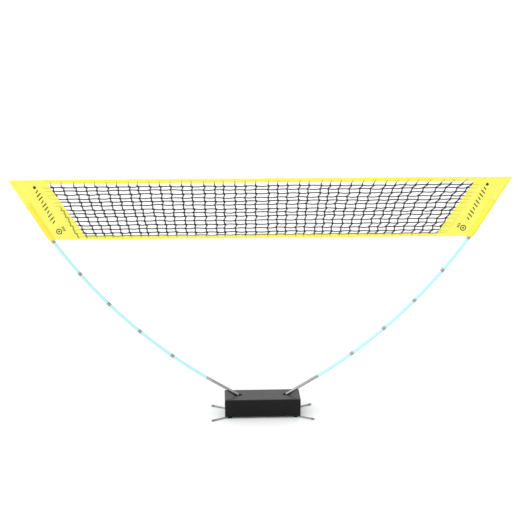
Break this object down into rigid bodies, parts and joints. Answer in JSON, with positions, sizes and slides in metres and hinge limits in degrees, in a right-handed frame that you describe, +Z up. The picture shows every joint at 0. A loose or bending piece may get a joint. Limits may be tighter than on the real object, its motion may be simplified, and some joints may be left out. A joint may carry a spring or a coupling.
{
  "type": "portable volleyball net",
  "caption": "Portable net with slanted solid end panels, held up by two bowed sectional poles that rise from a storage case standing on swing-out feet.",
  "frame": {"origin": "on the ground, under the middle of the case", "axes": "+X along the net, to the right as seen from the lid's side; +Y to the back, away from the lid; +Z up"},
  "size_m": [3, 0.25, 1.5],
  "materials": {
    "case_plastic": "fine-textured black moulding",
    "latch_plastic": "smooth black moulding",
    "polished_steel": "bright drawn steel",
    "zinc_steel": "satin zinc plate",
    "cyan_tube": "satin light cyan",
    "yellow_fabric": "plain woven, hemmed",
    "pocket_fabric": "plain woven, doubled",
    "net_cord": "knotted cord",
    "foot_rubber": "matte black",
    "elastic_cord": "braided elastic"
  },
  "bodies": {
    "stand": {"case_shell": "case_plastic", "foot_screw_back_left": "zinc_steel", "foot_screw_back_right": "zinc_steel", "foot_screw_front_left": "zinc_steel", "foot_screw_front_right": "zinc_steel", "lid_hinge_pin": "zinc_steel", "net_bottom_band": "yellow_fabric", "net_end_panel_left": "yellow_fabric", "net_end_panel_right": "yellow_fabric", "net_mesh": "net_cord", "net_pocket_left": "pocket_fabric", "net_pocket_right": "pocket_fabric", "net_top_band": "yellow_fabric", "pole_ferrule_left_1": "polished_steel", "pole_ferrule_left_2": "polished_steel", "pole_ferrule_left_3": "polished_steel", "pole_ferrule_left_4": "polished_steel", "pole_ferrule_left_5": "polished_steel", "pole_ferrule_right_1": "polished_steel", "pole_ferrule_right_2": "polished_steel", "pole_ferrule_right_3": "polished_steel", "pole_ferrule_right_4": "polished_steel", "pole_ferrule_right_5": "polished_steel", "pole_plug_left": "latch_plastic", "pole_plug_right": "latch_plastic", "pole_rod_left": "polished_steel", "pole_rod_right": "polished_steel", "pole_socket_left": "latch_plastic", "pole_socket_right": "latch_plastic", "pole_tip_rod_left": "cyan_tube", "pole_tip_rod_right": "cyan_tube", "pole_tube_left_1": "cyan_tube", "pole_tube_left_2": "cyan_tube", "pole_tube_left_3": "cyan_tube", "pole_tube_left_4": "cyan_tube", "pole_tube_left_5": "cyan_tube", "pole_tube_left_6": "cyan_tube", "pole_tube_right_1": "cyan_tube", "pole_tube_right_2": "cyan_tube", "pole_tube_right_3": "cyan_tube", "pole_tube_right_4": "cyan_tube", "pole_tube_right_5": "cyan_tube", "pole_tube_right_6": "cyan_tube", "shock_cord_left": "elastic_cord", "shock_cord_right": "elastic_cord"},
    "lid": {"case_lid": "case_plastic"},
    "latch_left": {"latch_bolt_left": "latch_plastic"},
    "latch_right": {"latch_bolt_right": "latch_plastic"},
    "foot_front_left": {"foot_hub_front_left": "case_plastic", "foot_leg_front_left": "zinc_steel", "foot_boot_front_left": "foot_rubber"},
    "foot_front_right": {"foot_hub_front_right": "case_plastic", "foot_leg_front_right": "zinc_steel", "foot_boot_front_right": "foot_rubber"},
    "foot_back_left": {"foot_hub_back_left": "case_plastic", "foot_leg_back_left": "zinc_steel", "foot_boot_back_left": "foot_rubber"},
    "foot_back_right": {"foot_hub_back_right": "case_plastic", "foot_leg_back_right": "zinc_steel", "foot_boot_back_right": "foot_rubber"}
  },
  "joints": [
    {"name": "lid_hinge", "type": "hinge", "parent": "stand", "child": "lid", "pos_m": [0, -0.0838, 0.1185], "axis": [-1, 0, 0], "range_deg": [0, 88]},
    {"name": "latch_slide_left", "type": "slide", "parent": "lid", "child": "latch_left", "axis": [0, 0, -1], "range_m": [0, 0.0045]},
    {"name": "latch_slide_right", "type": "slide", "parent": "lid", "child": "latch_right", "axis": [0, 0, -1], "range_m": [0, 0.0045]},
    {"name": "foot_swing_front_left", "type": "hinge", "parent": "stand", "child": "foot_front_left", "pos_m": [-0.206, -0.062, 0.006], "axis": [0, 0, 1], "range_deg": [0, 152]},
    {"name": "foot_swing_front_right", "type": "hinge", "parent": "stand", "child": "foot_front_right", "pos_m": [0.206, -0.062, 0.006], "axis": [0, 0, -1], "range_deg": [0, 152]},
    {"name": "foot_swing_back_left", "type": "hinge", "parent": "stand", "child": "foot_back_left", "pos_m": [-0.206, 0.062, 0.006], "axis": [0, 0, -1], "range_deg": [0, 152]},
    {"name": "foot_swing_back_right", "type": "hinge", "parent": "stand", "child": "foot_back_right", "pos_m": [0.206, 0.062, 0.006], "axis": [0, 0, 1], "range_deg": [0, 152]}
  ]
}
